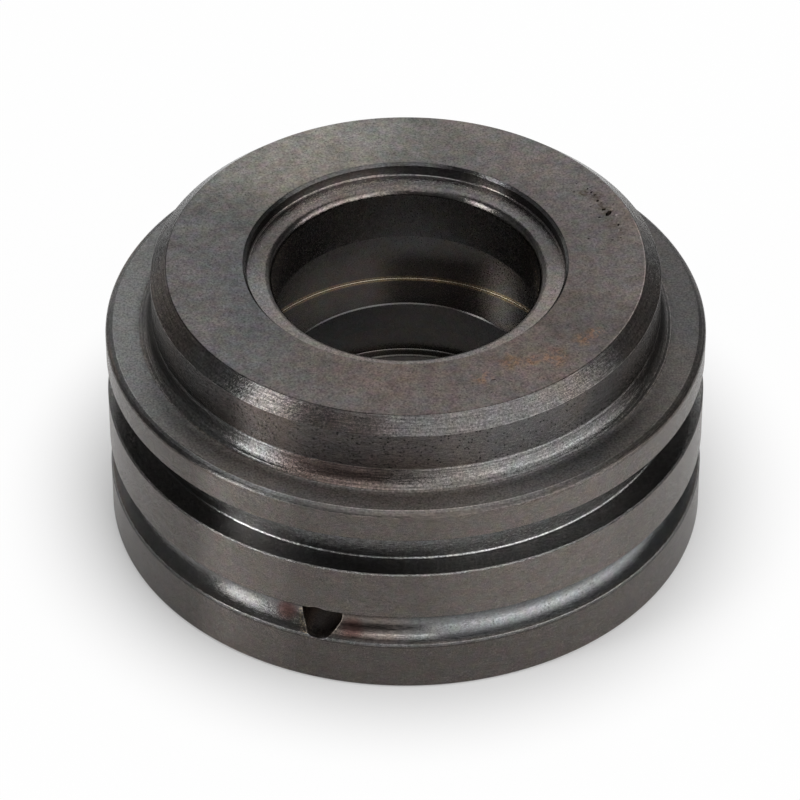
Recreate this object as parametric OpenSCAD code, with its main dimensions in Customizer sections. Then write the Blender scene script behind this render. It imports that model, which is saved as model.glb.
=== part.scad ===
// Guide bushing for a rod and cylinder, turned from one solid bar.
// It stands on its flat inner face; the nose points up along +Z.
// Lengths are in millimetres, heights are measured from the flat inner face.

/* [Body] */
// Outside diameter of the three lands that sit in the cylinder tube
outer_diameter = 90; // [86:0.5:110]
// Height of the shoulder above the flat inner face
shoulder_height = 33.5; // [33:0.25:39]
// Width of the lead-in chamfer on the shoulder, measured across
shoulder_chamfer_width = 1.1; // [0.3:0.1:2]
// Height of the lead-in chamfer on the shoulder
shoulder_chamfer_height = 0.5; // [0.2:0.1:2]
// Edge break round the flat inner face
foot_chamfer = 0.3; // [0.1:0.1:1]

/* [Nose] */
// Diameter of the nose that stands up from the shoulder
nose_diameter = 76; // [70:0.5:78]
// Height of the nose face above the flat inner face
nose_height = 44.5; // [44:0.25:52]
// Width of the nose chamfer, measured across
nose_chamfer_width = 2.4; // [0.5:0.1:4]
// Height of the nose chamfer
nose_chamfer_height = 2.15; // [0.5:0.05:4]
// Radius of the hollow corner where the nose meets the shoulder
nose_fillet = 2.7; // [0.5:0.1:4]

/* [Seal groove] */
// Height of the lower wall of the square seal groove
seal_groove_floor = 22; // [18:0.1:24]
// Width of the square seal groove
seal_groove_width = 6.4; // [3:0.1:7.5]
// Depth of the square seal groove below the lands
seal_groove_depth = 3.75; // [1:0.05:6]
// Radius in the two bottom corners of the seal groove
seal_groove_corner = 0.3; // [0.1:0.1:1]
// Edge break on both sides of the seal groove
seal_groove_edge = 0.25; // [0.1:0.05:0.6]

/* [Wire groove] */
// Height of the middle of the round wire groove
wire_groove_height = 11; // [8:0.25:13]
// Radius of the round wire groove, half the wire thickness
wire_groove_radius = 2.6; // [1:0.1:3.5]
// Rounding of both edges of the wire groove
wire_groove_edge = 0.3; // [0.1:0.1:1]
// Diameter of the hole that takes the bent end of the wire
wire_hole_diameter = 6; // [3:0.25:7]
// Depth of the wire hole from the lands to its full width end
wire_hole_depth = 8; // [5:0.5:12]
// Direction of the wire hole, turned from the front towards the left
wire_hole_angle = 16.8; // [0:0.1:359]
// Point angle of the drill that made the wire hole
wire_hole_point = 118; // [90:1:140]

/* [Rod bore] */
// Diameter of the bore that the rod slides through
bore_diameter = 40; // [30:0.5:42]
// Radius of the rounded lead-in at the outer end of the bore
lead_in_radius = 1.25; // [0.5:0.05:2]
// How far the rounded lead-in turns before it meets the bore
lead_in_turn = 80; // [40:1:85]
// Chamfer at the inner end of the bore
bore_chamfer = 1; // [0.2:0.1:2]

/* [Recess] */
// Diameter of the shallow recess in the nose face
recess_diameter = 47.6; // [47:0.1:58]
// Depth of the shallow recess
recess_depth = 2.1; // [0.9:0.1:4]
// Chamfer round the rim of the recess
recess_chamfer = 0.45; // [0.1:0.05:1]
// Radius in the bottom corner of the recess
recess_corner = 0.3; // [0.1:0.1:1]

/* [Rod seal chamber] */
// Diameter of the chamber for the rod seal
chamber_diameter = 52.5; // [45:0.5:60]
// Height of the chamber floor
chamber_floor = 20.3; // [18:0.1:22]
// Height of the chamber from its floor to its roof
chamber_height = 13.1; // [6:0.1:15]
// Radius in the two corners of the chamber
chamber_corner = 0.3; // [0.1:0.1:1]
// Edge break at the inner edge of the chamber floor
chamber_edge = 0.2; // [0.1:0.05:0.5]

/* [Guide ring groove] */
// Diameter at the bottom of the guide ring groove
ring_groove_diameter = 43.1; // [42.6:0.1:52]
// Height of the lower wall of the guide ring groove
ring_groove_floor = 10; // [4:0.1:11]
// Width of the guide ring groove
ring_groove_width = 5.6; // [3:0.1:6.5]
// Radius in the two corners of the guide ring groove
ring_groove_corner = 0.3; // [0.1:0.05:0.5]
// Edge break on the lower edge of the guide ring groove
ring_groove_edge = 0.2; // [0.1:0.05:0.5]

/* [Hidden] */
steel_colour = [0.30, 0.28, 0.27];
overlap = 0.5;
turned_steps = 180;
corner_steps = 5;
round_steps = 14;

outer_radius = outer_diameter / 2;
nose_radius = nose_diameter / 2;
bore_radius = bore_diameter / 2;
recess_radius = recess_diameter / 2;
chamber_radius = chamber_diameter / 2;
ring_groove_radius = ring_groove_diameter / 2;
seal_groove_root = outer_radius - seal_groove_depth;
seal_groove_roof = seal_groove_floor + seal_groove_width;
chamber_roof = chamber_floor + chamber_height;
ring_groove_roof = ring_groove_floor + ring_groove_width;
recess_floor = nose_height - recess_depth;
lead_in_middle_radius = bore_radius + lead_in_radius * sin(lead_in_turn);
lead_in_middle_height = recess_floor - lead_in_radius;
wire_lip_rise = sqrt(wire_groove_radius * (wire_groove_radius + 2 * wire_groove_edge));
wire_lip_turn = atan2(wire_lip_rise, wire_groove_edge);
wire_hole_tip = wire_hole_diameter / 2 / tan(wire_hole_point / 2);

// Points of an arc in the turning profile, angles from the outward direction
function arc(middle_radius, middle_height, arc_radius, from_angle, to_angle, steps) =
    [for (i = [0 : steps])
        let (a = from_angle + (to_angle - from_angle) * i / steps)
        [middle_radius + arc_radius * cos(a), middle_height + arc_radius * sin(a)]];

// Outside of the turning profile, from the flat inner face up to the nose face
foot_points = [
    [outer_radius - foot_chamfer, 0],
    [outer_radius, foot_chamfer]
];
// The wire groove has a rounded lip, a half-round bottom and a second rounded lip
wire_groove_points = concat(
    arc(outer_radius - wire_groove_edge, wire_groove_height - wire_lip_rise,
        wire_groove_edge, 0, wire_lip_turn, corner_steps),
    arc(outer_radius, wire_groove_height,
        wire_groove_radius, 180 + wire_lip_turn, 180 - wire_lip_turn, round_steps),
    arc(outer_radius - wire_groove_edge, wire_groove_height + wire_lip_rise,
        wire_groove_edge, -wire_lip_turn, 0, corner_steps));
seal_groove_points = concat(
    [[outer_radius, seal_groove_floor - seal_groove_edge],
     [outer_radius - seal_groove_edge, seal_groove_floor]],
    arc(seal_groove_root + seal_groove_corner, seal_groove_floor + seal_groove_corner,
        seal_groove_corner, 270, 180, corner_steps),
    arc(seal_groove_root + seal_groove_corner, seal_groove_roof - seal_groove_corner,
        seal_groove_corner, 180, 90, corner_steps),
    [[outer_radius - seal_groove_edge, seal_groove_roof],
     [outer_radius, seal_groove_roof + seal_groove_edge]]);
nose_points = concat(
    [[outer_radius, shoulder_height - shoulder_chamfer_height],
     [outer_radius - shoulder_chamfer_width, shoulder_height]],
    arc(nose_radius + nose_fillet, shoulder_height + nose_fillet,
        nose_fillet, 270, 180, round_steps),
    [[nose_radius, nose_height - nose_chamfer_height],
     [nose_radius - nose_chamfer_width, nose_height]]);

// Inside of the turning profile, from the nose face down to the flat inner face
recess_points = concat(
    [[recess_radius + recess_chamfer, nose_height],
     [recess_radius, nose_height - recess_chamfer]],
    arc(recess_radius - recess_corner, recess_floor + recess_corner,
        recess_corner, 0, -90, corner_steps));
lead_in_points = arc(lead_in_middle_radius, lead_in_middle_height,
    lead_in_radius, 90, 90 + lead_in_turn, corner_steps + 3);
chamber_points = concat(
    [[bore_radius, chamber_roof]],
    arc(chamber_radius - chamber_corner, chamber_roof - chamber_corner,
        chamber_corner, 90, 0, corner_steps),
    arc(chamber_radius - chamber_corner, chamber_floor + chamber_corner,
        chamber_corner, 0, -90, corner_steps),
    [[bore_radius + chamber_edge, chamber_floor],
     [bore_radius, chamber_floor - chamber_edge]]);
ring_groove_points = concat(
    [[bore_radius, ring_groove_roof]],
    arc(ring_groove_radius - ring_groove_corner, ring_groove_roof - ring_groove_corner,
        ring_groove_corner, 90, 0, corner_steps),
    arc(ring_groove_radius - ring_groove_corner, ring_groove_floor + ring_groove_corner,
        ring_groove_corner, 0, -90, corner_steps),
    [[bore_radius + ring_groove_edge, ring_groove_floor],
     [bore_radius, ring_groove_floor - ring_groove_edge]]);
bore_end_points = [
    [bore_radius, bore_chamfer],
    [bore_radius + bore_chamfer, 0]
];

// The whole turned shape, every face made in the lathe
module turned_body() {
    rotate_extrude($fn = turned_steps)
        polygon(concat(foot_points, wire_groove_points, seal_groove_points, nose_points,
            recess_points, lead_in_points, chamber_points, ring_groove_points,
            bore_end_points));
}

// Blind drilled hole in the wire groove, full width first and then the drill point
module wire_hole() {
    rotate([0, 0, -90 - wire_hole_angle])
        translate([outer_radius - wire_hole_depth, 0, wire_groove_height])
            rotate([0, 90, 0]) {
                cylinder(d = wire_hole_diameter, h = wire_hole_depth + overlap, $fn = 48);
                translate([0, 0, -wire_hole_tip])
                    cylinder(d1 = 0, d2 = wire_hole_diameter, h = wire_hole_tip, $fn = 48);
            }
}

// The bushing, one solid piece
module guide_bushing() {
    color(steel_colour)
        difference() {
            turned_body();
            wire_hole();
        }
}

guide_bushing();
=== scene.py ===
"""Guide bushing: one turned and oxidised steel piece, dressed for the photograph's view.

Lengths of the piece are in millimetres, measured like the part: radius outward from the
turning axis, height up from the flat inner face. The mesh is made in metres.
Azimuths run in degrees from the front, -Y, towards the right, +X.
"""
import math

import bmesh
import bpy
from mathutils import Matrix, Vector


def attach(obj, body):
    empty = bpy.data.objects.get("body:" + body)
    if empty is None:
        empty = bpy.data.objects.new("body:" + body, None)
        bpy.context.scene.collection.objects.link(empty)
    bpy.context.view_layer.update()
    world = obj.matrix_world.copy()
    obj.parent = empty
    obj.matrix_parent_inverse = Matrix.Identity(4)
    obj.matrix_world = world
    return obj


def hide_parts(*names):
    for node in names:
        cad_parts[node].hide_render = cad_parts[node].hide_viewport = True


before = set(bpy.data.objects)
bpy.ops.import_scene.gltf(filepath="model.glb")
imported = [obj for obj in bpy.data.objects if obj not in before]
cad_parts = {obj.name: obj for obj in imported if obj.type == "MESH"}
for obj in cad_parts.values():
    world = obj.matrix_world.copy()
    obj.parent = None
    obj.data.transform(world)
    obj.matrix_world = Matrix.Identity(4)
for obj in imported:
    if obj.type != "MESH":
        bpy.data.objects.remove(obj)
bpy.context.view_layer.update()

MM = 0.001

# Camera, fitted to the round edges of the piece in the photograph
LOOK_AT_HEIGHT = 17.535 * MM
CAMERA_DISTANCE = 768.6 * MM
CAMERA_ELEVATION = math.radians(39.79)
LENS_MM = 227.75
FRAME_SHIFT = -5.71 / 800

# Turning profile; the piece is kept a hair inside the lands of the solid
LAND_RADIUS = 45.0
OUTER_RADIUS = LAND_RADIUS - 0.01
FOOT_CHAMFER = 0.3
WIRE_HEIGHT = 11.0
WIRE_RADIUS = 2.63
WIRE_EDGE = 0.3
WIRE_STEPS = 26
SEAL_FLOOR = 22.0
SEAL_ROOF = 28.4
SEAL_ROOT = 41.25
SEAL_EDGE = 0.25
SHOULDER_HEIGHT = 33.5
SHOULDER_RIM = 43.89
SHOULDER_CHAMFER = 0.5
NOSE_RADIUS = 38.0
NOSE_HEIGHT = 44.5
NOSE_CHAMFER_WIDTH = 2.4
NOSE_CHAMFER_HEIGHT = 2.15
NOSE_TOP_RADIUS = NOSE_RADIUS - NOSE_CHAMFER_WIDTH
CHAMFER_FOOT = NOSE_HEIGHT - NOSE_CHAMFER_HEIGHT
RECESS_RADIUS = 23.8
RECESS_CHAMFER = 0.45
RECESS_FLOOR = 42.4
BORE_RADIUS = 20.0
LEAD_IN_RADIUS = 1.25
LEAD_IN_TURN = 80.0
LEAD_IN_STEPS = 14
CHAMBER_RADIUS = 26.25
CHAMBER_FLOOR = 20.3
CHAMBER_ROOF = 33.4
RING_RADIUS = 21.55
RING_FLOOR = 10.0
RING_ROOF = 15.6
INNER_EDGE = 0.2
CORNER = 0.3
BORE_CHAMFER = 1.0
SEGMENTS = 256

# Lower lip of the wire groove: a narrow flat from one height to the other, leaning in by its
# width, and the angle at which the round bottom of the groove starts above it
WIRE_LIP = 7.88
WIRE_LIP_TOP = 8.27
WIRE_LIP_WIDTH = 0.25
WIRE_LIP_TURN = 250.0
UPPER_LIP_STEPS = 7

# The hollow corner of the nose: a ramp with two fine ridges, an arc and a cone
HOLLOW_RAMP = (
    (40.65, 33.502), (40.2, 33.545), (39.78, 33.592), (39.73, 33.625), (39.68, 33.622),
    (39.62, 33.645), (39.36, 33.765), (39.32, 33.825), (39.27, 33.85),
)
HOLLOW_MIDDLE = (39.905, 35.223)
HOLLOW_RADIUS = 1.53
HOLLOW_TURN = (243, 198)
HOLLOW_STEPS = 14
HOLLOW_CONE = ((38.33, 35.14), (38.105, 35.875), (38.1, 35.93), (38.06, 35.99), (38.012, 36.16))
NOSE_FOOT = 36.24

# How far each kind of edge is rounded
WIRE_LIP_ROUND = 0.04
SHARP_ROUND = 0.05
EDGE_ROUND = 0.06
LAND_ROUND = 0.08
BORE_END_ROUND = 0.1
NOSE_ROUND = 0.12
FLANGE_ROUND = 0.7

# A rounded corner takes one step for so many degrees, and no fewer or more steps than these
ROUND_STEP = 15
FEWEST_STEPS = 2
MOST_STEPS = 6

# The lip of metal that the tool left at the shoulder's rim: outward, upward and inward
RIM_LIP_OUT = 0.02
RIM_LIP_RISE = 0.03
RIM_LIP_BACK = 0.13

# Profile steps longer than this get two extra rows, so that smooth shading stays on its corner
LONG_STEP = 0.2
CORNER_MARGIN = 0.04

# The wire hole
HOLE_RADIUS = 3.08
HOLE_DEPTH = 8.0
HOLE_AZIMUTH = -16.8
HOLE_BREAK = 0.18
HOLE_POINT = 118.0
DRILL_START = 48.0
DRILL_STEPS = 64

# Edges of the hole's rim lie further out than this, so close to the drill's side, and are
# bent by more than this angle in radians
HOLE_RIM_FROM = 41.5
HOLE_RIM_SLACK = 0.01
HOLE_RIM_ANGLE = 0.5

# Edges of the turned piece that are steeper than this stay sharp
SHARP_ANGLE = math.radians(40)

# Dents in the nose face: radius, azimuth, half length, half width, depth, turn in degrees
DENTS = (
    (32.55, 110.6, 0.78, 0.36, 0.35, 62), (32.25, 112.6, 0.36, 0.24, 0.22, 40),
    (32.62, 120.7, 0.34, 0.16, 0.15, 60), (32.70, 119.3, 0.26, 0.16, 0.15, 30),
    (32.35, 116.7, 0.30, 0.20, 0.18, 70), (32.60, 115.5, 0.22, 0.15, 0.12, 20),
    (30.72, 115.2, 0.20, 0.14, 0.12, 0), (30.90, 109.8, 0.26, 0.18, 0.15, 50),
    (33.02, 105.2, 0.34, 0.16, 0.16, 75), (27.80, 100.9, 0.20, 0.16, 0.12, 0),
    (31.26, 99.2, 0.22, 0.16, 0.14, 20), (32.53, 99.7, 0.18, 0.13, 0.12, 0),
    (30.45, 123.4, 0.20, 0.14, 0.12, 40), (31.95, 126.0, 0.18, 0.12, 0.10, 0),
    (32.58, 122.5, 0.24, 0.12, 0.12, 60), (30.55, 24.5, 0.42, 0.12, 0.14, 20),
)
DENT_SEGMENTS = 14
DENT_RINGS = 8

# Spots: radius, azimuth and reach on the nose face. Stains lie round the dents, burrs are
# bright metal pushed up beside them, and rust lies at the front right.
STAINS = (
    (32.5, 111.6, 1.7), (32.6, 118.5, 1.6), (32.0, 114.8, 1.4),
    (32.2, 106.6, 1.7), (31.6, 121.5, 1.3), (33.2, 102.5, 1.1),
)
BURRS = ((33.30, 111.9, 0.35), (33.50, 109.3, 0.30), (32.73, 102.9, 0.22))
RUST = (
    (31.8, 54.1, 2.3), (32.5, 58.4, 1.9), (31.3, 43.9, 3.0),
    (28.2, 32.9, 2.6), (29.5, 22.1, 2.2), (29.8, 38.0, 1.8),
)

# Painted reflection of something red on both sides of the wire hole: radius, azimuth, reach and
# height
RED_REFLECTION_SPOTS = ((42.6, -24.0, 2.2, 9.95), (43.1, -10.5, 2.3, 9.25))

# Tones of the oxide, and of painted reflections and highlights
WARM_STEEL = (0.184, 0.161, 0.146, 1)
COOL_STEEL = (0.157, 0.151, 0.149, 1)
NEUTRAL_STEEL = (0.152, 0.152, 0.15, 1)
SHELTERED_STEEL = (0.153, 0.153, 0.151, 1)
BLUE_GREY_STEEL = (0.148, 0.152, 0.154, 1)
BLUE_STEEL = (0.148, 0.154, 0.166, 1)
YELLOW_STEEL = (0.172, 0.165, 0.142, 1)
# Brown of a painted reflection, right of the wire hole
BROWN_REFLECTION_TONE = (0.188, 0.156, 0.138, 1)
# Reddish: the top face's own tint, and a painted reflection of a reddish object at the front left
REDDISH_TINT_AND_REFLECTION = (0.205, 0.138, 0.119, 1)
# Red of a painted reflection beside the wire hole
RED_REFLECTION_TONE = (0.25, 0.135, 0.12, 1)
RUST_BROWN = (0.265, 0.162, 0.106, 1)
STAIN_BROWN = (0.2, 0.15, 0.115, 1)
GOLDEN_EDGE = (0.36, 0.305, 0.23, 1)
EDGE_LINE_GREY = (0.16, 0.159, 0.157, 1)
WHITE = (1, 1, 1, 1)

# Relief of the finest marks, in metres
BUMP_HEIGHT = 0.036 * MM

# Floor: its edge, the opening under the piece, the disc under the bore and how low it lies
FLOOR_RADIUS = 170.0
FLOOR_OPENING = 44.6
FLOOR_PLUG = 21.1
FLOOR_DROP = 0.02
FLOOR_STEPS = 128
FLOOR_PAINT = (0.95, 0.95, 0.95, 1)

# The floor fades to plain white between these distances from the axis, in metres
FLOOR_FADE = (0.038, 0.064)
FLOOR_FADE_SHARE = 0.97

# What the studio's dark surroundings give back
ROOM_GREY = (0.13, 0.13, 0.13, 1)


def direction(azimuth):
    """The outward direction at an azimuth."""
    angle = math.radians(azimuth)
    return Vector((math.sin(angle), -math.cos(angle), 0.0))


def standing(azimuth, distance, height):
    """A place in the studio, in metres."""
    place = direction(azimuth) * distance
    place.z = height
    return place


# Lamps, in metres: name, place, the point each faces, width, height, radiance, lean in degrees.
# A radiance of 1 looks white.
LAMPS = (
    # A large softbox stands on the right, from the floor up, its lower part brighter
    ("right_softbox", standing(53, 1.2, 0.87), (0, 0, 0.87), 1.94, 1.7, 1.25, 0.0),
    ("right_softbox_low", standing(52, 1.18, 0.12), (0, 0, 0.12), 1.8, 0.84, 1.6, 0.0),
    # A narrow lamp stands on the left and leans back
    ("left_strip", standing(-63, 1.5, 0.68), (0, 0, 0.68), 0.36, 2.0, 5.2, 12.0),
    # One long panel hangs overhead, from above the camera to behind the piece
    ("overhead_panel", (0.075, 0.6, 1.3), (0.075, 0.6, 0), 1.05, 3.4, 1.06, 0.0),
    # A dim wall behind fills the far side
    ("back_fill", (-0.2, 1.75, 0.75), (0, 0, 0.2), 3.6, 1.5, 0.3, 0.0),
)


def place_camera():
    data = bpy.data.cameras.new("photo_camera")
    data.sensor_width = 36.0
    data.lens = LENS_MM
    data.shift_x = FRAME_SHIFT
    data.clip_start = 0.05
    data.clip_end = 60.0
    camera = bpy.data.objects.new("photo_camera", data)
    bpy.context.scene.collection.objects.link(camera)
    back = Vector((0.0, -math.cos(CAMERA_ELEVATION), math.sin(CAMERA_ELEVATION)))
    camera.location = Vector((0, 0, LOOK_AT_HEIGHT)) + CAMERA_DISTANCE * back
    camera.rotation_euler = (math.radians(90) - CAMERA_ELEVATION, 0, 0)
    bpy.context.scene.camera = camera


def arc(radius, height, size, from_angle, to_angle, steps):
    """Points of an arc in the profile, angles from the outward direction."""
    points = []
    for step in range(steps + 1):
        angle = math.radians(from_angle + (to_angle - from_angle) * step / steps)
        points.append(Vector((radius + size * math.cos(angle), height + size * math.sin(angle))))
    return points


def rounded(before, corner, after, size):
    """A corner of the profile turned into a small arc that is tangent to both sides."""
    back = (before - corner).normalized()
    ahead = (after - corner).normalized()
    half = back.angle(ahead) / 2
    middle = corner + (back + ahead).normalized() * size / math.sin(half)
    start = corner + back * size / math.tan(half) - middle
    end = corner + ahead * size / math.tan(half) - middle
    turn = math.pi - 2 * half
    steps = max(FEWEST_STEPS, min(MOST_STEPS, math.ceil(math.degrees(turn) / ROUND_STEP)))
    points = []
    for step in range(steps + 1):
        part = turn * step / steps
        swung = (start * math.sin(turn - part) + end * math.sin(part)) / math.sin(turn)
        points.append(middle + swung)
    return points


def hollow_corner():
    """The corner at the foot of the nose: a ramp, two fine ridges, an arc and a cone."""
    ramp = [Vector(point) for point in HOLLOW_RAMP]
    hollow = arc(*HOLLOW_MIDDLE, HOLLOW_RADIUS, *HOLLOW_TURN, HOLLOW_STEPS)
    cone = [Vector(point) for point in HOLLOW_CONE]
    return ramp + hollow + cone


def wire_groove():
    """The half-round bottom of the wire groove, with its rounded upper lip."""
    lip_rise = math.sqrt(WIRE_RADIUS * (WIRE_RADIUS + 2 * WIRE_EDGE))
    lip_turn = math.degrees(math.atan2(lip_rise, WIRE_EDGE))
    bottom = arc(OUTER_RADIUS, WIRE_HEIGHT, WIRE_RADIUS, WIRE_LIP_TURN, 180 - lip_turn, WIRE_STEPS)
    upper_lip = arc(OUTER_RADIUS - WIRE_EDGE, WIRE_HEIGHT + lip_rise, WIRE_EDGE,
                    -lip_turn, 0, UPPER_LIP_STEPS)
    return bottom[:-1] + upper_lip


def lead_in():
    """The rounded start of the bore."""
    middle = BORE_RADIUS + LEAD_IN_RADIUS * math.sin(math.radians(LEAD_IN_TURN))
    return arc(middle, RECESS_FLOOR - LEAD_IN_RADIUS, LEAD_IN_RADIUS,
               90, 90 + LEAD_IN_TURN, LEAD_IN_STEPS)


def turning_profile():
    """Rows of the closed profile: up the outside, over the nose and down the bore.

    A station is a corner, given as radius, height and rounding, or a run of points.
    """
    stations = (
        (OUTER_RADIUS - FOOT_CHAMFER, 0, EDGE_ROUND),
        (OUTER_RADIUS, FOOT_CHAMFER, LAND_ROUND),
        (OUTER_RADIUS, WIRE_LIP, WIRE_LIP_ROUND),
        (OUTER_RADIUS - WIRE_LIP_WIDTH, WIRE_LIP_TOP, SHARP_ROUND),
        wire_groove(),
        (OUTER_RADIUS, SEAL_FLOOR - SEAL_EDGE, LAND_ROUND),
        (OUTER_RADIUS - SEAL_EDGE, SEAL_FLOOR, LAND_ROUND),
        (SEAL_ROOT, SEAL_FLOOR, CORNER),
        (SEAL_ROOT, SEAL_ROOF, CORNER),
        (OUTER_RADIUS - SEAL_EDGE, SEAL_ROOF, LAND_ROUND),
        (OUTER_RADIUS, SEAL_ROOF + SEAL_EDGE, LAND_ROUND),
        (OUTER_RADIUS, SHOULDER_HEIGHT - SHOULDER_CHAMFER, FLANGE_ROUND),
        (SHOULDER_RIM + RIM_LIP_OUT, SHOULDER_HEIGHT + RIM_LIP_RISE, SHARP_ROUND),
        (SHOULDER_RIM - RIM_LIP_BACK, SHOULDER_HEIGHT, EDGE_ROUND),
        hollow_corner(),
        (NOSE_RADIUS, NOSE_FOOT, EDGE_ROUND),
        (NOSE_RADIUS, CHAMFER_FOOT, NOSE_ROUND),
        (NOSE_TOP_RADIUS, NOSE_HEIGHT, LAND_ROUND),
        (RECESS_RADIUS + RECESS_CHAMFER, NOSE_HEIGHT, EDGE_ROUND),
        (RECESS_RADIUS, NOSE_HEIGHT - RECESS_CHAMFER, EDGE_ROUND),
        (RECESS_RADIUS, RECESS_FLOOR, CORNER),
        lead_in(),
        (BORE_RADIUS, CHAMBER_ROOF, SHARP_ROUND),
        (CHAMBER_RADIUS, CHAMBER_ROOF, CORNER),
        (CHAMBER_RADIUS, CHAMBER_FLOOR, CORNER),
        (BORE_RADIUS + INNER_EDGE, CHAMBER_FLOOR, EDGE_ROUND),
        (BORE_RADIUS, CHAMBER_FLOOR - INNER_EDGE, EDGE_ROUND),
        (BORE_RADIUS, RING_ROOF, SHARP_ROUND),
        (RING_RADIUS, RING_ROOF, CORNER),
        (RING_RADIUS, RING_FLOOR, CORNER),
        (BORE_RADIUS + INNER_EDGE, RING_FLOOR, EDGE_ROUND),
        (BORE_RADIUS, RING_FLOOR - INNER_EDGE, EDGE_ROUND),
        (BORE_RADIUS, BORE_CHAMFER, BORE_END_ROUND),
        (BORE_RADIUS + BORE_CHAMFER, 0, BORE_END_ROUND),
    )
    runs = [[Vector(station[:2])] if isinstance(station, tuple) else station
            for station in stations]
    turned = []
    for index, station in enumerate(stations):
        if isinstance(station, tuple):
            before = runs[index - 1][-1]
            after = runs[(index + 1) % len(runs)][0]
            turned.append(rounded(before, runs[index][0], after, station[2]))
        else:
            turned.append(station)
    rows = []
    for index, points in enumerate(turned):
        rows.extend(points)
        start = points[-1]
        end = turned[(index + 1) % len(turned)][0]
        length = (end - start).length
        if length > LONG_STEP:
            margin = (end - start) * (CORNER_MARGIN / length)
            rows.extend([start + margin, end - margin])
    return rows


def revolve(rows):
    """The profile turned round the axis."""
    mesh = bmesh.new()
    rings = []
    for row in rows:
        ring = []
        for segment in range(SEGMENTS):
            angle = 2 * math.pi * segment / SEGMENTS
            ring.append(mesh.verts.new((row.x * MM * math.cos(angle),
                                        row.x * MM * math.sin(angle), row.y * MM)))
        rings.append(ring)
    for index, ring in enumerate(rings):
        above = rings[(index + 1) % len(rings)]
        for segment in range(SEGMENTS):
            ahead = (segment + 1) % SEGMENTS
            mesh.faces.new((ring[segment], ring[ahead], above[ahead], above[segment]))
    bmesh.ops.recalc_face_normals(mesh, faces=mesh.faces)
    return mesh


def hole_drill():
    """The drill that cuts the wire hole: a full width body and a point."""
    mesh = bmesh.new()
    out = direction(HOLE_AZIMUTH)
    up = Vector((0, 0, 1))
    side = up.cross(out)
    bottom = LAND_RADIUS - HOLE_DEPTH
    rings = []
    for depth in (bottom, DRILL_START):
        ring = []
        for step in range(DRILL_STEPS):
            angle = 2 * math.pi * step / DRILL_STEPS
            around = side * math.cos(angle) + up * math.sin(angle)
            point = out * depth + around * HOLE_RADIUS
            point.z += WIRE_HEIGHT
            ring.append(mesh.verts.new(point * MM))
        rings.append(ring)
    tip = HOLE_RADIUS / math.tan(math.radians(HOLE_POINT / 2))
    point = mesh.verts.new((out * (bottom - tip) + up * WIRE_HEIGHT) * MM)
    for step in range(DRILL_STEPS):
        ahead = (step + 1) % DRILL_STEPS
        mesh.faces.new((rings[0][step], rings[0][ahead], rings[1][ahead], rings[1][step]))
        mesh.faces.new((point, rings[0][ahead], rings[0][step]))
    mesh.faces.new(rings[1])
    bmesh.ops.recalc_face_normals(mesh, faces=mesh.faces)
    return mesh


def dent_tools():
    """Small flattened balls that leave the dents in the nose face."""
    mesh = bmesh.new()
    for radius, azimuth, length, width, depth, turn in DENTS:
        spot = direction(azimuth) * radius
        spot.z = NOSE_HEIGHT
        shape = (Matrix.Translation(spot * MM) @ Matrix.Rotation(math.radians(turn), 4, "Z")
                 @ Matrix.Diagonal(Vector((length, width, depth, 1 / MM)) * MM))
        bmesh.ops.create_uvsphere(mesh, u_segments=DENT_SEGMENTS, v_segments=DENT_RINGS,
                                  radius=1.0, matrix=shape)
    return mesh


def break_hole_edge(body):
    """A small edge break where the drill came through the groove."""
    out = direction(HOLE_AZIMUTH)
    shape = bmesh.new()
    shape.from_mesh(body.data)

    def on_drill(vertex):
        point = vertex.co / MM
        point.z -= WIRE_HEIGHT
        along = point.dot(out)
        off_axis = (point - out * along).length
        return along > HOLE_RIM_FROM and abs(off_axis - HOLE_RADIUS) < HOLE_RIM_SLACK

    rim = [edge for edge in shape.edges
           if on_drill(edge.verts[0]) and on_drill(edge.verts[1]) and len(edge.link_faces) == 2
           and edge.calc_face_angle() > HOLE_RIM_ANGLE]
    bmesh.ops.bevel(shape, geom=rim, offset=HOLE_BREAK * MM, segments=2, profile=0.5,
                    affect="EDGES", clamp_overlap=True)
    shape.to_mesh(body.data)
    shape.free()


def as_object(name, shape):
    mesh = bpy.data.meshes.new(name)
    shape.to_mesh(mesh)
    shape.free()
    thing = bpy.data.objects.new(name, mesh)
    bpy.context.scene.collection.objects.link(thing)
    return thing


def cut_away(body, cutter):
    """Takes the cutter out of the body and leaves no modifier behind."""
    cut = body.modifiers.new("cut", "BOOLEAN")
    cut.operation = "DIFFERENCE"
    cut.solver = "EXACT"
    cut.object = cutter
    settled = bpy.context.evaluated_depsgraph_get()
    result = bpy.data.meshes.new_from_object(body.evaluated_get(settled))
    body.modifiers.clear()
    spent = body.data
    body.data = result
    bpy.data.meshes.remove(spent)
    mesh = cutter.data
    bpy.data.objects.remove(cutter)
    bpy.data.meshes.remove(mesh)


class Signal:
    """A value in the shader; the usual signs on it add Math nodes."""

    def __init__(self, bench, socket):
        self.bench = bench
        self.socket = socket

    def other(self, name):
        """Another output of the same node."""
        return Signal(self.bench, self.socket.node.outputs[name])

    def __add__(self, other):
        return self.bench.calc("ADD", self, other)

    def __sub__(self, other):
        return self.bench.calc("SUBTRACT", self, other)

    def __rsub__(self, other):
        return self.bench.calc("SUBTRACT", other, self)

    def __mul__(self, other):
        return self.bench.calc("MULTIPLY", self, other)

    def __truediv__(self, other):
        return self.bench.calc("DIVIDE", self, other)

    __radd__ = __add__
    __rmul__ = __mul__


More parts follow.
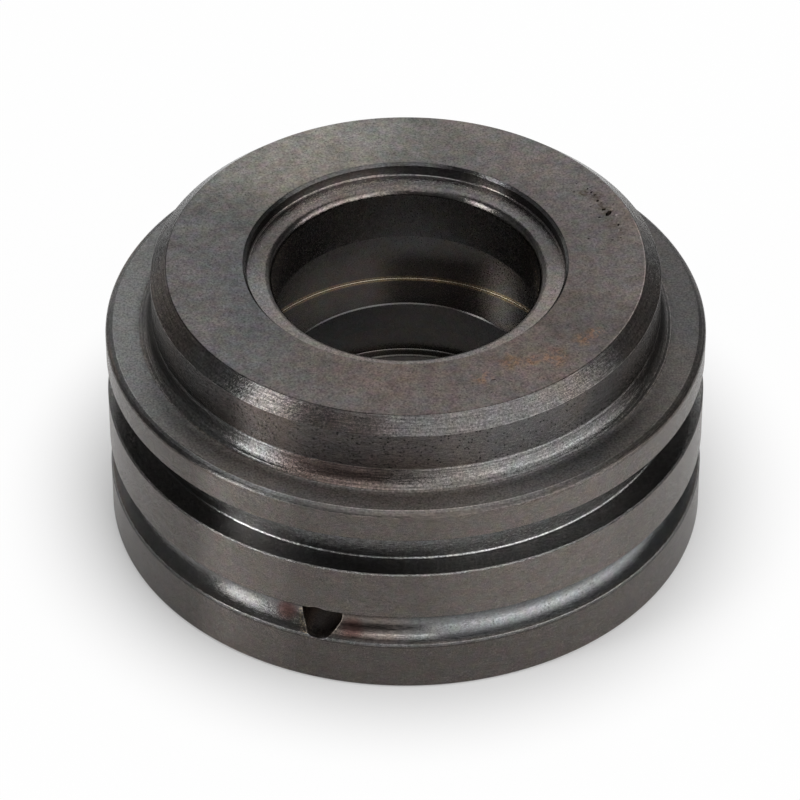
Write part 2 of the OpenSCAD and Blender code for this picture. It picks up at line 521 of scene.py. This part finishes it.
class Bench:
    """Where the nodes of one material are laid out."""

    def __init__(self, name):
        self.material = bpy.data.materials.new(name)
        self.material.use_nodes = True
        self.tree = self.material.node_tree
        self.tree.nodes.clear()

    def node(self, kind, settings=None, inputs=None, output=0):
        node = self.tree.nodes.new(kind)
        for name, value in (settings or {}).items():
            setattr(node, name, value)
        for key, value in (inputs or {}).items():
            if isinstance(value, Signal):
                self.tree.links.new(value.socket, node.inputs[key])
            else:
                node.inputs[key].default_value = value
        return Signal(self, node.outputs[output]) if node.outputs else None

    def calc(self, operation, *values):
        return self.node("ShaderNodeMath", {"operation": operation}, dict(enumerate(values)))

    def vector(self, operation, *values, output=0):
        return self.node("ShaderNodeVectorMath", {"operation": operation},
                         dict(enumerate(values)), output)

    def length(self, across, up):
        """How long a flat vector is."""
        return self.calc("SQRT", across * across + up * up)

    def smooth(self, value, low, high):
        """0 below low, 1 above high, with soft ends."""
        return self.node("ShaderNodeMapRange", {"interpolation_type": "SMOOTHSTEP"},
                         {"Value": value, "From Min": low, "From Max": high})

    def between(self, value, low, high, soft):
        """1 between low and high, 0 outside, with soft ends."""
        above = self.smooth(value, low - soft, low + soft)
        return above * (1 - self.smooth(value, high - soft, high + soft))

    def noise(self, vector, scale, detail=2.0, rough=0.5, dimensions="3D"):
        return self.node("ShaderNodeTexNoise", {"noise_dimensions": dimensions},
                         {"Vector": vector, "Scale": scale, "Detail": detail, "Roughness": rough})

    def blend(self, factor, under, over):
        """Colours mixed, under where the factor is 0."""
        return self.node("ShaderNodeMix", {"data_type": "RGBA"}, {0: factor, 6: under, 7: over}, 2)

    def scaled(self, colour, factor):
        return self.node("ShaderNodeVectorMath", {"operation": "SCALE"},
                         {0: colour, "Scale": factor})


class Surfaces:
    """Where on the piece a point is: each mask is 1 on its surface and 0 away from it."""

    def __init__(self, bench):
        self.bench = bench
        self.mm = bench.scaled(bench.node("ShaderNodeTexCoord", output=3), 1 / MM)
        self.x = bench.node("ShaderNodeSeparateXYZ", {}, {0: self.mm})
        self.y = self.x.other("Y")
        self.z = self.x.other("Z")
        self.radius = bench.length(self.x, self.y)
        self.right = self.x / self.radius
        self.front = 0 - self.y / self.radius
        self.far = bench.smooth(self.front * -1, 0.0, 0.12)
        self.set_outer_masks()
        self.set_inner_masks()
        self.set_hole_masks()

    def facing(self, azimuth, low, high):
        """1 near an azimuth; low and high are cosines of the angle from it."""
        angle = math.radians(azimuth)
        towards = self.front * math.cos(angle) + self.right * math.sin(angle)
        return self.bench.smooth(towards, low, high)

    def near(self, radius, height, reach):
        """1 on one line round the piece, 0 further away than the reach."""
        gap = self.bench.length(self.radius - radius, self.z - height)
        return 1 - self.bench.smooth(gap, 0.4 * reach, reach)

    def spots(self, places):
        """1 in the middle of each spot, on the nose face unless a height is given."""
        total = 0.0
        for radius, azimuth, reach, *height in places:
            spot = direction(azimuth) * radius
            spot.z = height[0] if height else NOSE_HEIGHT
            gap = self.bench.vector("DISTANCE", self.mm, spot, output=1)
            total = total + (1 - self.bench.smooth(gap, 0.2 * reach, reach))
        return total

    def set_outer_masks(self):
        smooth = self.bench.smooth
        between = self.bench.between
        radius = self.radius
        z = self.z
        self.outside = smooth(radius, NOSE_TOP_RADIUS - 0.6, NOSE_TOP_RADIUS + 0.9)
        self.inside = 1 - self.outside
        self.top = (smooth(z, NOSE_HEIGHT - 0.9, NOSE_HEIGHT - 0.6)
                    * between(radius, RECESS_RADIUS + 0.4, NOSE_TOP_RADIUS + 0.1, 0.05))
        self.dent = self.top * (1 - smooth(z, NOSE_HEIGHT - 0.06, NOSE_HEIGHT - 0.03))
        self.nose = (between(z, SHOULDER_HEIGHT + 0.1, NOSE_HEIGHT - 0.05, 0.1)
                     * between(radius, NOSE_TOP_RADIUS - 0.1, NOSE_RADIUS + 1.6, 0.1))
        self.wall = (between(z, NOSE_FOOT + 0.06, CHAMFER_FOOT - 0.05, 0.05)
                     * between(radius, NOSE_RADIUS - 0.1, NOSE_RADIUS + 0.1, 0.05))
        self.nose_chamfer = (between(z, CHAMFER_FOOT - 0.05, NOSE_HEIGHT - 0.05, 0.05)
                             * self.outside)
        self.hollow = (between(z, SHOULDER_HEIGHT + 0.1, NOSE_FOOT - 0.04, 0.1)
                       * between(radius, NOSE_RADIUS - 0.1, NOSE_RADIUS + 1.7, 0.1))
        self.shoulder = (between(z, SHOULDER_HEIGHT - 0.2, SHOULDER_HEIGHT + 0.2, 0.05)
                         * smooth(radius, NOSE_RADIUS + 1.6, NOSE_RADIUS + 2.2))
        flange_end = smooth(z, SHOULDER_HEIGHT - 0.7, SHOULDER_HEIGHT - 0.4)
        self.flange_chamfer = smooth(radius, SHOULDER_RIM - 0.04, SHOULDER_RIM + 0.06) * flange_end
        self.bands = smooth(radius, LAND_RADIUS - 0.3, LAND_RADIUS - 0.1) * (1 - flange_end)
        self.lowest_band = self.bands * (1 - smooth(z, WIRE_HEIGHT - 3.4, WIRE_HEIGHT - 2.0))
        self.upper_bands = self.bands * smooth(z, WIRE_HEIGHT + 1.0, WIRE_HEIGHT + 3.0)
        grooves = self.outside * (1 - self.bands)
        self.seal_groove = between(z, SEAL_FLOOR - 0.1, SEAL_ROOF + 0.2, 0.1) * grooves
        self.wire_groove = between(z, WIRE_HEIGHT - 2.6, WIRE_HEIGHT + 2.6, 0.2) * grooves
        self.seal_groove_edge = self.near(LAND_RADIUS - 0.1, SEAL_FLOOR - 0.13, 0.15)
        self.seal_groove_corner = self.near(SEAL_ROOT + 0.05, SEAL_FLOOR + 0.1, 0.25)
        self.wire_lip = self.near(LAND_RADIUS - 0.13, WIRE_LIP + 0.22, 0.3)

    def set_inner_masks(self):
        smooth = self.bench.smooth
        between = self.bench.between
        radius = self.radius
        z = self.z
        self.recess_wall = (between(z, RECESS_FLOOR + 0.25, NOSE_HEIGHT, 0.05)
                            * between(radius, RECESS_RADIUS - 0.1, RECESS_RADIUS + 0.5, 0.05))
        self.shelf = (between(z, RECESS_FLOOR - 0.4, NOSE_HEIGHT - 0.9, 0.05)
                      * (1 - smooth(radius, RECESS_RADIUS - CORNER, RECESS_RADIUS - 0.05)))
        self.bore = self.inside * (1 - smooth(z, RECESS_FLOOR - 1.5, RECESS_FLOOR - 0.8))
        self.high_land = self.bore * smooth(z, CHAMBER_ROOF - 0.1, CHAMBER_ROOF + 0.1)
        self.low_land = self.inside * between(z, RING_FLOOR + 0.2, CHAMBER_FLOOR - 0.05, 0.1)
        self.chamber = (self.inside * between(z, CHAMBER_FLOOR, CHAMBER_ROOF, 0.05)
                        * smooth(radius, BORE_RADIUS + 0.2, BORE_RADIUS + 0.5))

    def set_hole_masks(self):
        smooth = self.bench.smooth
        between = self.bench.between
        drill = direction(HOLE_AZIMUTH)
        from_hole = self.bench.length(self.x * drill.y - self.y * drill.x, self.z - WIRE_HEIGHT)
        here = self.facing(HOLE_AZIMUTH, 0.9, 0.92) * smooth(self.radius, 33.0, 33.5)
        self.hole = here * (1 - smooth(from_hole, HOLE_RADIUS - 0.02, HOLE_RADIUS + 0.03))
        self.hole_lip = here * between(from_hole, HOLE_RADIUS + 0.03, HOLE_RADIUS + 0.16, 0.02)
        side = here * between(from_hole, HOLE_RADIUS, HOLE_RADIUS + 0.7, 0.2)
        below = 1 - smooth(self.z, WIRE_HEIGHT - 0.5, WIRE_HEIGHT + 0.5)
        self.hole_side = side * below * smooth(self.x * -1, 12.6, 14.8)


class Marks:
    """What the turning tool, the oxide bath and handling left on the steel, and a painted
    reflection of something red beside the wire hole.
    """

    def __init__(self, bench, on):
        self.bench = bench
        self.on = on
        self.feed = 1.3 * on.z - 0.8 * on.radius
        self.turned = bench.calc("ARCTAN2", on.x, 0 - on.y)
        self.fine = self.tool_marks(18.0, 26.0)
        self.lines = self.tool_marks(2.6, 8.0)
        self.grain = bench.noise(on.mm, 3.2, 2.0, 0.6)
        self.patches = bench.noise(on.mm, 0.35, 3.0, 0.6)
        self.mottle = bench.smooth(bench.noise(on.mm, 0.05, 3.0, 0.55), 0.4, 0.6)
        self.specks = bench.noise(on.mm, 0.6, 1.0, 0.5).other("Color")
        self.rust = on.spots(RUST) * bench.smooth(bench.noise(on.mm, 0.8, 4.0, 0.65), 0.4, 0.6)
        blotches = bench.smooth(bench.noise(on.mm, 1.3, 4.0, 0.65), 0.38, 0.58)
        self.stain = on.top * on.spots(STAINS) * blotches
        # A painted reflection of something red, beside the wire hole
        self.red_reflection = on.wire_groove * on.spots(RED_REFLECTION_SPOTS)
        self.pores = self.dark_pores()

    def tool_marks(self, per_mm, per_radian):
        """Marks of the turning tool: narrow across, longer round the piece."""
        place = self.bench.node("ShaderNodeCombineXYZ", {},
                                {0: self.feed * per_mm, 1: self.turned * per_radian})
        return self.bench.noise(place, 1.0, 1.0, 0.5, "2D")

    def dark_pores(self):
        on = self.on
        cell = self.bench.node("ShaderNodeTexVoronoi", {}, {"Vector": on.mm, "Scale": 1.75})
        chance = self.bench.node("ShaderNodeSeparateXYZ", {}, {0: cell.other("Color")})
        pores = 1 - self.bench.smooth(cell, 0.05, 0.25 + 0.14 * on.wall)
        pores = pores * self.bench.smooth(chance, 0.25, 0.5)
        pores = pores * (1 - 0.8 * on.bands) * (1 - on.bore) * (1 - 0.6 * on.shoulder)
        return pores * (1 + 0.3 * (on.wall + on.hollow))


def steel_tone(bench, on, marks):
    """The oxide's hue, painted in layers, with painted reflections of a reddish object and the
    colour of painted highlights.
    """
    neutral = 0.4 * on.hollow + on.shoulder * (0.3 + 0.7 * on.facing(-90, 0.6, 0.95))
    neutral = neutral + 0.8 * on.recess_wall
    left_glint = 0.8 * on.flange_chamfer + 0.5 * (on.nose - on.wall)
    neutral = neutral + left_glint * on.facing(-38, 0.94, 0.98)
    # Reddish: a painted reflection of a reddish object at the front left on the hollow, the nose
    # chamfer and the wall, and the top face's own reddish tint
    reddish_tint_and_reflection = on.facing(-16, 0.96, 0.995) * (on.hollow + 0.5 * on.nose_chamfer)
    reddish_tint_and_reflection = reddish_tint_and_reflection + 0.25 * on.wall * on.facing(-20, 0.75, 0.95)
    reddish_tint_and_reflection = reddish_tint_and_reflection + on.top * (0.5 * on.facing(20, 0.5, 1.0) + 0.3 * on.facing(105, 0.6, 1.0))
    # A golden line at the chamber's floor corner, lightened as a painted highlight, and yellow
    # specks beside the wire hole
    golden_highlight_and_specks = on.near(CHAMBER_RADIUS - 0.1, CHAMBER_FLOOR + 0.1, 0.5)
    golden_highlight_and_specks = golden_highlight_and_specks + on.hole_side * bench.smooth(marks.grain, 0.45, 0.6)
    # Neutral grey on the wire groove's lower lip and on the seal groove's edge and corner, where
    # painted highlights lie
    edge_lines = on.seal_groove_edge + on.wire_lip + on.seal_groove_corner
    groove_right = bench.smooth(on.right, -0.1, 0.2)
    layers = (
        (0.35 * on.bore + 0.85 * on.seal_groove, SHELTERED_STEEL),
        (neutral, NEUTRAL_STEEL),
        (0.85 * on.wire_groove, NEUTRAL_STEEL),
        (0.85 * on.wire_groove * groove_right, BLUE_GREY_STEEL),
        # Painted reflection of a reddish-brown object, right of the wire hole
        (0.8 * on.wire_groove * on.facing(-11, 0.975, 0.997), BROWN_REFLECTION_TONE),
        (0.6 * reddish_tint_and_reflection, REDDISH_TINT_AND_REFLECTION),
        # Painted reflection of something red, beside the wire hole
        (0.8 * marks.red_reflection, RED_REFLECTION_TONE),
        (0.5 * on.top * on.facing(-150, 0.5, 1.0), YELLOW_STEEL),
        (0.4 * on.top * on.facing(-80, 0.7, 1.0), BLUE_STEEL),
        (0.85 * marks.rust, RUST_BROWN),
        (0.6 * marks.stain, STAIN_BROWN),
        (golden_highlight_and_specks, GOLDEN_EDGE),
        (0.85 * edge_lines, EDGE_LINE_GREY),
    )
    tone = bench.blend(marks.mottle * (1 - on.bands) + on.bands, COOL_STEEL, WARM_STEEL)
    for share, over in layers:
        tone = bench.blend(share, tone, over)
    tint = bench.vector("MULTIPLY_ADD", marks.specks, (0.28, 0.28, 0.28), (0.86, 0.86, 0.86))
    tint = bench.blend((0.45 - 0.3 * on.bands) * on.outside * (1 - on.top), tint, WHITE)
    return bench.vector("MULTIPLY", tone, tint)


def steel_level(bench, on, marks):
    """How bright the oxide is, with painted highlights, reflections and shade laid on it: every
    gain adds to or takes from the level where it applies.
    """
    grain = 2.1 - 1.2 * on.bands - 1.8 * on.bore + 0.1 * on.shoulder - on.wall
    grain = grain - 1.2 * on.wire_groove
    top = 0.8 + 0.5 * on.facing(-150, 0.8, 1.0) + 0.2 * on.facing(178, 0.3, 1.0)
    top = top - 0.15 * on.facing(60, 0.95, 1.0)
    top = top * (0.79 + 0.1 * bench.smooth(on.radius, 25.0, 33.0)) * (0.7 + 0.6 * marks.patches)
    # Painted light on the shoulder in front and at the left, and painted shade at the right
    shoulder = 0.4 * on.facing(-5, 0.7, 0.95) + 0.12 * on.facing(-85, 0.9, 1.0)
    shoulder = shoulder - 0.45 * bench.smooth(on.right, 0.4, 0.8)
    # Painted highlight on the seal groove's bottom corner, less at the right, and painted shade at
    # the far left
    seal_corner_light_and_shade = 1.6 - 0.9 * bench.smooth(on.right, 0.35, 0.7)
    seal_corner_light_and_shade = seal_corner_light_and_shade - 2.2 * bench.smooth(on.right * -1, 0.6, 0.75)
    # Painted shade on the flange chamfer in front, and painted light at the back
    flange_light_and_shade = 0.33 - 0.35 * (1 - bench.smooth(on.front, 0.35, 0.7)) - 0.5 * on.far
    # Painted light on the shelf at the back, and painted shade at its sides
    shelf = (1.6 * bench.smooth(on.radius, 21.2, 23.0) - 0.15) * on.facing(182, 0.65, 0.95)
    shelf = shelf - 0.12 - 0.4 * bench.between(on.front, -0.6, 0.0, 0.2)
    # Painted dark reflection of the gap between the lamps, at the front left
    lamp_gap_reflection = on.facing(-15, 0.975, 0.995)
    gains = (
        grain * (marks.grain - 0.5),
        0.9 * (on.nose - on.wall) * (1 - on.far) * (marks.lines - 0.5),
        -0.8 * marks.pores,
        -0.5 * marks.stain,
        # The painted red reflection beside the wire hole is also darker
        -0.5 * marks.red_reflection,
        # Nose face
        on.top * (top - 1),
        1.2 * on.top * on.spots(BURRS),
        -0.8 * on.dent,
        # Painted highlight on the nose face's outer edge, at the right
        1.2 * on.near(NOSE_TOP_RADIUS, NOSE_HEIGHT - 0.02, 0.2) * on.facing(80, 0.85, 0.95),
        # Nose chamfer and wall: a painted dark reflection of the gap between the lamps, and
        # painted shade on the wall away from the front
        -0.35 * on.nose_chamfer * on.far,
        lamp_gap_reflection * (-0.4 * on.nose_chamfer - 0.2 * on.wire_groove),
        -0.4 * on.wall,
        # Painted shade on the wall, away from the front
        -0.3 * on.wall * (1 - bench.smooth(on.front, 0.45, 0.8)),
        # Shoulder and its chamfer: painted light and shade by side, and painted highlights on the
        # rim and on the chamfer
        on.shoulder * shoulder,
        # Painted highlight along the shoulder's rim, at the front
        0.8 * on.near(SHOULDER_RIM + 0.01, SHOULDER_HEIGHT, 0.15)
        * bench.smooth(on.front, 0.1, 0.5),
        -1 * flange_light_and_shade * on.flange_chamfer,
        # Painted highlight of the left lamp on the flange chamfer
        0.7 * on.flange_chamfer * on.facing(-34, 0.97, 0.995),
        # Lands: the lowest band with painted shade, and painted reflections of the lamps at the
        # right and at the left
        # The lowest band is painted darker, as shade
        -0.4 * on.bands - 0.12 * on.lowest_band,
        # Painted reflection of the right softbox on the upper bands and the wall
        (0.2 * on.upper_bands + 0.25 * on.wall) * on.facing(25, 0.93, 0.975),
        # Painted highlight of the left lamp on the bands and the wall
        (0.35 * on.bands + 0.3 * on.wall) * on.facing(-30, 0.985, 0.999),
        # Seal groove: painted highlights on its edge and its bottom corner, and painted shade on
        # the corner at the far left
        0.1 * on.seal_groove,
        # Painted highlight on the seal groove's lower edge, toward the front
        1.6 * on.seal_groove_edge * on.facing(-10, 0.6, 0.9),
        seal_corner_light_and_shade * on.seal_groove_corner,
        # Wire groove: its lower lip, a darker line below it, and painted highlights and a painted
        # dark reflection along its lower half
        # Painted highlight on the wire groove's lower lip
        0.3 * on.wire_lip,
        -0.5 * on.near(OUTER_RADIUS, WIRE_LIP - 0.09, 0.13),
        # Painted highlights in the wire groove's lower half, at the front and the right
        0.4 * on.near(LAND_RADIUS - 1.7, WIRE_HEIGHT - 1.5, 1.0) * on.facing(15, 0.9, 0.98),
        1.6 * on.near(LAND_RADIUS - 1.28, WIRE_HEIGHT - 2.24, 0.6)
        * bench.between(on.right, -0.24, 0.1, 0.05),
        # A painted dark reflection in the wire groove, at the front
        -0.5 * on.near(LAND_RADIUS - 2.2, WIRE_HEIGHT - 1.2, 0.65)
        * bench.between(on.right, -0.15, 0.06, 0.05),
        on.hole,
        0.8 * on.hole_lip,
        # Recess and bore: painted light and shade on the shelf, and painted shade on the recess
        # wall at the back
        on.shelf * shelf,
        # Painted shade on the recess wall at the back left, and over a reflection at the back
        # right
        -0.4 * on.recess_wall * on.facing(-150, 0.5, 0.9),
        -0.4 * on.recess_wall * on.facing(150, 0.93, 1.0),
        0.65 * on.high_land,
        -0.4 * on.low_land,
        0.25 * on.chamber,
        -0.5 * on.near(BORE_RADIUS + 0.1, RING_FLOOR - 0.1, 0.4),
    )
    level = 0.85 + 0.3 * marks.patches
    for gain in gains:
        level = level * (1 + gain)
    return level


def steel_roughness(on, marks):
    rough = 0.17 + 0.17 * on.top + 0.2 * on.shoulder + 0.06 * on.shelf
    rough = rough + 0.09 * on.bore + 0.08 * on.bands
    return rough + 0.16 * (marks.grain - 0.5)


def steel_relief(on, marks):
    """Height of the tool's marks and of the grain, in shares of BUMP_HEIGHT."""
    fine = 0.44 - 0.06 * on.top + 1.34 * on.bands + 0.5 * on.wall
    fine = fine - 0.32 * on.bore + 0.14 * on.seal_groove
    grain = 1 - 0.7 * on.bands - 0.85 * on.bore - 0.4 * on.wire_groove
    return fine * marks.fine + 0.6 * marks.lines * (on.nose - on.wall) + 0.5 * grain * marks.grain


def blackened_steel():
    bench = Bench("blackened_steel")
    on = Surfaces(bench)
    marks = Marks(bench, on)
    colour = bench.scaled(steel_tone(bench, on, marks), steel_level(bench, on, marks))
    bump = bench.node("ShaderNodeBump", {}, {
        "Strength": 1.0, "Distance": BUMP_HEIGHT, "Height": steel_relief(on, marks)})
    surface = bench.node("ShaderNodeBsdfPrincipled", {}, {
        "Base Color": colour, "Metallic": 1.0,
        "Roughness": steel_roughness(on, marks), "Normal": bump})
    bench.node("ShaderNodeOutputMaterial", {}, {"Surface": surface})
    return bench.material


def pale_floor():
    """Paint under the piece, which takes its shadow, and plain white further out."""
    bench = Bench("pale_floor")
    path = bench.node("ShaderNodeLightPath")
    seen = path.other("Is Camera Ray") + path.other("Is Glossy Ray")
    seen = seen + path.other("Is Transmission Ray")
    place = bench.node("ShaderNodeTexCoord", output=3)
    away = bench.vector("LENGTH", place, output=1)
    share = FLOOR_FADE_SHARE * bench.smooth(away, *FLOOR_FADE)
    paint = bench.node("ShaderNodeBsdfDiffuse", {}, {"Color": FLOOR_PAINT})
    white = bench.node("ShaderNodeEmission", {}, {"Color": WHITE, "Strength": 1.0})
    floor = bench.node("ShaderNodeMixShader", {}, {0: seen * share, 1: paint, 2: white})
    bench.node("ShaderNodeOutputMaterial", {}, {"Surface": floor})
    return bench.material


def lay_floor():
    """A round floor, left open under the flat inner face so that the face shows from below."""
    shape = bmesh.new()
    rings = []
    for radius in (FLOOR_OPENING, FLOOR_RADIUS):
        circle = bmesh.ops.create_circle(shape, segments=FLOOR_STEPS, radius=radius * MM)
        rings.append(circle["verts"])
    for step in range(FLOOR_STEPS):
        ahead = (step + 1) % FLOOR_STEPS
        shape.faces.new((rings[0][step], rings[1][step], rings[1][ahead], rings[0][ahead]))
    bmesh.ops.create_circle(shape, cap_ends=True, segments=FLOOR_STEPS, radius=FLOOR_PLUG * MM)
    bmesh.ops.recalc_face_normals(shape, faces=shape.faces)
    bmesh.ops.translate(shape, verts=shape.verts, vec=(0, 0, -FLOOR_DROP * MM))
    floor = as_object("floor", shape)
    floor.data.materials.append(pale_floor())


def soft_lamp(name, place, faces, width, height, radiance, lean):
    """A flat soft lamp at a place, facing a point."""
    lamp = bpy.data.lights.new(name, "AREA")
    lamp.shape = "RECTANGLE"
    lamp.size = width
    lamp.size_y = height
    lamp.energy = radiance * math.pi * width * height
    thing = bpy.data.objects.new(name, lamp)
    thing.location = place
    facing = (Vector(place) - Vector(faces)).to_track_quat("Z", "Y").to_matrix()
    thing.rotation_euler = (facing @ Matrix.Rotation(math.radians(lean), 3, "Z")).to_euler()
    bpy.context.scene.collection.objects.link(thing)


def light_studio():
    """The lamps, and a room that is white where the camera sees it and dark for the light."""
    for lamp in LAMPS:
        soft_lamp(*lamp)
    world = bpy.data.worlds.new("studio")
    world.use_nodes = True
    nodes = world.node_tree.nodes
    links = world.node_tree.links
    air = nodes["Background"]
    air.inputs["Strength"].default_value = 1.0
    path = nodes.new("ShaderNodeLightPath")
    seen = nodes.new("ShaderNodeMix")
    seen.data_type = "RGBA"
    seen.inputs[6].default_value = ROOM_GREY
    seen.inputs[7].default_value = WHITE
    links.new(path.outputs["Is Camera Ray"], seen.inputs[0])
    links.new(seen.outputs[2], air.inputs["Color"])
    bpy.context.scene.world = world


def make_bushing():
    body = as_object("guide_bushing_turned", revolve(turning_profile()))
    cut_away(body, as_object("drill", hole_drill()))
    break_hole_edge(body)
    cut_away(body, as_object("dents", dent_tools()))
    for face in body.data.polygons:
        face.use_smooth = True
    body.data.set_sharp_from_angle(angle=SHARP_ANGLE)
    body.data.materials.clear()
    body.data.materials.append(blackened_steel())
    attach(body, "root")
    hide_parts("guide_bushing")


bpy.context.scene.view_settings.view_transform = "Standard"
place_camera()
light_studio()
lay_floor()
make_bushing()
